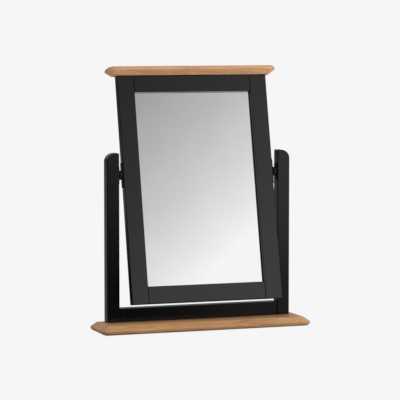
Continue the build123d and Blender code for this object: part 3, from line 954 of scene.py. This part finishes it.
# Hardware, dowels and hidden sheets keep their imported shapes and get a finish
finishes = {
    "plainSteel": ["base_screws", "left_pivot_pin", "right_pivot_pin"],
    "blackEnamel": [
        "left_post_plate", "right_post_plate", "left_frame_plate", "right_frame_plate", "frame_plate_screws",
        "post_plate_screws", "left_spring_washer", "right_spring_washer", "panel_clips", "clip_screws",
    ],
    "darkFibre": ["left_friction_washer", "right_friction_washer"],
    "greyFelt": ["base_felt"],
    "brownHardboard": ["backing_panel"],
    "bareBeech": ["rail_dowels", "frame_dowels", "cap_dowels"],
}
for name, nodes in finishes.items():
    for node in nodes:
        packed = frame["nodes"][node].data
        packed.materials.clear()
        packed.materials.append(smallMaterials[name])
print("hardware finished")


# Floor, world and lamps. Lengths are in metres, and directions are parts of one.
paleLevel = 0.9216  # the photograph's background

floorLook = {
    "size": 30.0,
    "contactDepth": 0.05,  # how much darker it is close to what stands on it
    "contactReach": 60 * mm,
    "contactSamples": 16,
    "baseHalf": (0.25, 0.08),  # half the base's length and width
    # painted shade: as a source of light the floor is darker near the base, standing in for the object's shadow
    "bounceReach": (0.02, 0.15),  # distance from the base
    "bounce": (0.42, 0.85),
    "slant": 0.22,  # a metre further back counts as this much further right
    "nearReach": (-0.05, 0.2),
    "near": (0.08, 0.37),
    "rightReach": (0.38, 0.68),
    "right": (0.0, 0.62),
    "behindReach": (5.0, 9.0),
    "behind": (0.26, 0.06),
    "leftSlant": 0.36,  # the same, behind the object
    "leftReach": (-0.6, -0.3),
    "left": (0.1, 1.0),
    "seam": (-0.05, 0.05),
}


# The floor is seen pale, with a faint contact shadow, by the camera and in the silver. As a source of light it is
# matt, with a painted shade that makes it darker the nearer it is to the base. Gloss sees it glow: before the
# object brighter towards the right in two steps, and far behind it dimmer with distance and towards the left.
def makeFloor(look):
    half = look["size"] / 2
    mesh = bpy.data.meshes.new("studioFloor")
    mesh.from_pydata([(-half, -half, 0), (half, -half, 0), (half, half, 0), (-half, half, 0)], [], [(0, 1, 2, 3)])
    floor = bpy.data.objects.new("studioFloor", mesh)
    bpy.context.scene.collection.objects.link(floor)
    material = bpy.data.materials.new("paleFloor")
    material.use_nodes = True
    tree = material.node_tree
    tree.nodes.clear()
    path = addNode(tree, "LightPath").outputs
    x, y, _ = addNode(tree, "SeparateXYZ", {0: objectPlace(tree)}).outputs

    # seen
    reach, samples = {"Distance": look["contactReach"]}, look["contactSamples"]
    clear = addNode(tree, "AmbientOcclusion", reach, samples=samples).outputs["AO"]
    glow = remap(tree, clear, 0.0, 1.0, paleLevel - look["contactDepth"], paleLevel)
    pale = addNode(tree, "Emission", {"Color": white, "Strength": glow})

    # as a source of light, with a painted shade near the base
    halfLength, halfWidth = look["baseHalf"]
    awayAcross = less(tree, doMath(tree, "ABSOLUTE", x), halfLength)
    awayBack = less(tree, doMath(tree, "ABSOLUTE", y), halfWidth)
    away = doMath(tree, "MAXIMUM", awayAcross, awayBack)
    tone = remap(tree, away, *look["bounceReach"], *look["bounce"])
    bounce = addNode(tree, "BsdfDiffuse", {"Color": greyOf(tree, tone)})

    # in gloss
    slant = timesPlus(tree, y, look["slant"], x)
    near = remap(tree, slant, *look["nearReach"], *look["near"])
    before = plus(tree, near, remap(tree, slant, *look["rightReach"], *look["right"], smooth=True))
    left = remap(tree, timesPlus(tree, y, look["leftSlant"], x), *look["leftReach"], *look["left"])
    behind = times(tree, remap(tree, y, *look["behindReach"], *look["behind"]), left)
    level = shareOut(tree, remap(tree, y, *look["seam"]), before, behind)
    gloss = addNode(tree, "Emission", {"Color": white, "Strength": level})

    unseen = addNode(tree, "MixShader", {0: path["Is Glossy Ray"], 1: bounce.outputs[0], 2: gloss.outputs[0]})
    seen = doMath(tree, "MAXIMUM", path["Is Camera Ray"], path["Is Singular Ray"])
    both = addNode(tree, "MixShader", {0: seen, 1: unseen.outputs[0], 2: pale.outputs[0]})
    addNode(tree, "OutputMaterial", {"Surface": both.outputs[0]})
    mesh.materials.append(material)


worldLook = {
    "screenLean": -0.78,  # the screen's upper edge climbs to the right
    "screenFall": -8.87,
    "screenLift": 0.0953,
    "screenMost": 0.965,
    "rightReach": (0.5, 0.9),
    "right": (1.0, 0.4),
    "dim": (0.17, 0.34),  # the least that the front gives, in gloss and in the silver
    "frontReach": (0.25, -0.2),
    "rearReach": (0.0, 0.35),
    "rear": (0.12, 0.45),
    "backdrop": 0.85,  # what the silver sees behind
    "overheadReach": (0.45, 0.85),
    "overhead": 0.60,
}


# The studio round the object, by direction: to the front a pale screen low on the right, which falls off as an
# exponential above its slanting edge and never goes under the dim level, a rear that brightens with height, and
# an even ceiling. The camera sees plain pale, and the silver a pale backdrop behind.
def makeWorld(look):
    world = bpy.data.worlds.new("paleStudio")
    bpy.context.scene.world = world
    world.use_nodes = True
    world.cycles.sampling_method = "NONE"
    tree = world.node_tree
    tree.nodes.clear()
    path = addNode(tree, "LightPath").outputs
    inSilver = path["Is Singular Ray"]
    x, y, z = addNode(tree, "SeparateXYZ", {0: addNode(tree, "TexCoord").outputs["Generated"]}).outputs

    fall = timesPlus(tree, timesPlus(tree, x, look["screenLean"], z), look["screenFall"], look["screenLift"])
    screen = doMath(tree, "MINIMUM", doMath(tree, "EXPONENT", fall), look["screenMost"])
    screen = times(tree, screen, remap(tree, x, *look["rightReach"], *look["right"]))
    screen = doMath(tree, "MAXIMUM", screen, remap(tree, inSilver, 0.0, 1.0, *look["dim"]))

    rear = remap(tree, z, *look["rearReach"], *look["rear"], smooth=True)
    rear = doMath(tree, "MAXIMUM", rear, times(tree, inSilver, look["backdrop"]))
    around = shareOut(tree, remap(tree, y, *look["frontReach"], smooth=True), rear, screen)
    level = shareOut(tree, remap(tree, z, *look["overheadReach"], smooth=True), around, look["overhead"])

    seen = addNode(tree, "Background", {"Color": (paleLevel, paleLevel, paleLevel, 1), "Strength": 1.0})
    lit = addNode(tree, "Background", {"Color": white, "Strength": level})
    both = addNode(tree, "MixShader", {0: path["Is Camera Ray"], 1: lit.outputs[0], 2: seen.outputs[0]})
    addNode(tree, "OutputWorld", {"Surface": both.outputs[0]})


lamps = {
    "keyScreen": {"turn": 38, "rise": 25, "distance": 3.0, "size": (2.0, 1.6), "power": 60},
    "leftFill": {"turn": -60, "rise": 15, "distance": 3.0, "size": (1.5, 1.5), "power": 12},
    "rearFill": {"turn": 170, "rise": 40, "distance": 3.0, "size": (2.0, 2.0), "power": 28},
}
lampTarget = Vector((0, 0, 0.28))


# A lamp stands round the object at its turn from the front and its rise, and faces the object's middle
def addLamp(name, lamp):
    turn, rise = math.radians(lamp["turn"]), math.radians(lamp["rise"])
    toLamp = Vector((math.sin(turn) * math.cos(rise), -math.cos(turn) * math.cos(rise), math.sin(rise)))
    data = bpy.data.lights.new(name, "AREA")
    data.shape = "RECTANGLE"
    data.size, data.size_y = lamp["size"]
    data.energy = lamp["power"]
    light = bpy.data.objects.new(name, data)
    bpy.context.scene.collection.objects.link(light)
    light.location = lampTarget + toLamp * lamp["distance"]
    light.rotation_euler = toLamp.to_track_quat("Z", "Y").to_euler()
    light.visible_camera = False
    light.visible_glossy = False


makeFloor(floorLook)
makeWorld(worldLook)
for name, lamp in lamps.items():
    addLamp(name, lamp)
bpy.context.scene.view_settings.view_transform = "Standard"
print("studio lit")
